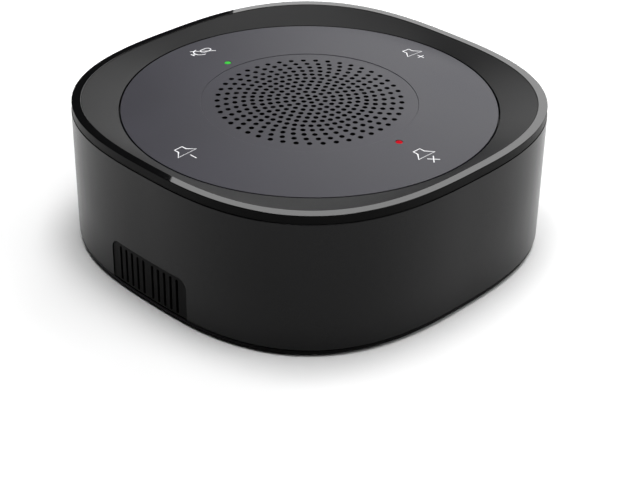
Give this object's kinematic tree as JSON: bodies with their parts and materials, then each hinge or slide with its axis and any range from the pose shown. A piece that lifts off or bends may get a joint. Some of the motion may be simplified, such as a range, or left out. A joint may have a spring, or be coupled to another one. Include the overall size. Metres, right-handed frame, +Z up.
{
  "type": "conference speakerphone",
  "caption": "Conference speakerphone: rounded square black housing, gloss top ring, domed grey touch panel with perforated speaker grille, vent in the front wall, data inlet at the rear",
  "frame": {"origin": "centre of the underside of the feet, on the table", "axes": "+Z up; -Y the front, where the vent is; +X the right-hand side of someone sitting in front"},
  "size_m": [0.1304, 0.1304, 0.0455],
  "materials": {
    "gloss_black": "polished black moulding",
    "satin_black": "satin black moulding with a fine spark texture",
    "dish_black": "satin black moulding",
    "panel_grey": "satin grey moulding, faintly blue",
    "vent_black": "satin black moulding",
    "black_cloth": "woven acoustic cloth",
    "rubber": "moulded rubber",
    "circuit_board": "solder resist on glass laminate",
    "chip_resin": "moulded resin",
    "plated_steel": "plated",
    "ferrite": "sintered, matt",
    "aluminium_can": "drawn can",
    "copper_wire": "enamelled winding",
    "black_paper": "pressed paper",
    "resin_cloth": "resin-stiffened cloth",
    "white_plastic": "satin",
    "green_light": "clear green light pipe",
    "red_light": "clear red light pipe"
  },
  "bodies": {
    "housing": {"base_plate": "gloss_black", "trim_ring": "gloss_black", "wall_sleeve": "satin_black", "dish_bezel": "dish_black", "touch_panel": "panel_grey", "speaker_grille": "panel_grey", "vent_grille": "vent_black", "grille_cloth": "black_cloth", "vent_mesh": "black_cloth", "foot_front_left": "rubber", "foot_front_right": "rubber", "foot_rear_left": "rubber", "foot_rear_right": "rubber", "driver_gasket": "rubber", "cone_surround": "rubber", "touch_board": "circuit_board", "main_board": "circuit_board", "signal_chip": "chip_resin", "amplifier_chip": "chip_resin", "inlet_tongue": "chip_resin", "upper_ribbon_socket": "chip_resin", "lower_ribbon_socket": "chip_resin", "driver_basket": "plated_steel", "driver_top_plate": "plated_steel", "driver_yoke": "plated_steel", "inlet_shell": "plated_steel", "base_screw_front_left": "plated_steel", "base_screw_front_right": "plated_steel", "base_screw_rear_left": "plated_steel", "base_screw_rear_right": "plated_steel", "board_screw_front_left": "plated_steel", "board_screw_front_right": "plated_steel", "board_screw_rear_left": "plated_steel", "board_screw_rear_right": "plated_steel", "driver_screw_front_left": "plated_steel", "driver_screw_front_right": "plated_steel", "driver_screw_rear_left": "plated_steel", "driver_screw_rear_right": "plated_steel", "microphone_front_left": "plated_steel", "microphone_front_right": "plated_steel", "microphone_rear_left": "plated_steel", "microphone_rear_right": "plated_steel", "driver_magnet": "ferrite", "capacitor_1": "aluminium_can", "capacitor_2": "aluminium_can", "cone_spider": "resin_cloth", "green_lamp_chip": "white_plastic", "red_lamp_chip": "white_plastic", "ribbon_cable": "white_plastic", "green_light_pipe": "green_light", "red_light_pipe": "red_light"},
    "cone": {"speaker_cone": "black_paper", "dust_cap": "black_paper", "voice_coil": "copper_wire"}
  },
  "joints": [
    {"name": "cone_travel", "type": "slide", "parent": "housing", "child": "cone", "axis": [0, 0, 1], "range_m": [-0.0012, 0.0012], "stiffness_N_per_m": 900, "deforming": ["cone_surround", "cone_spider"]}
  ]
}
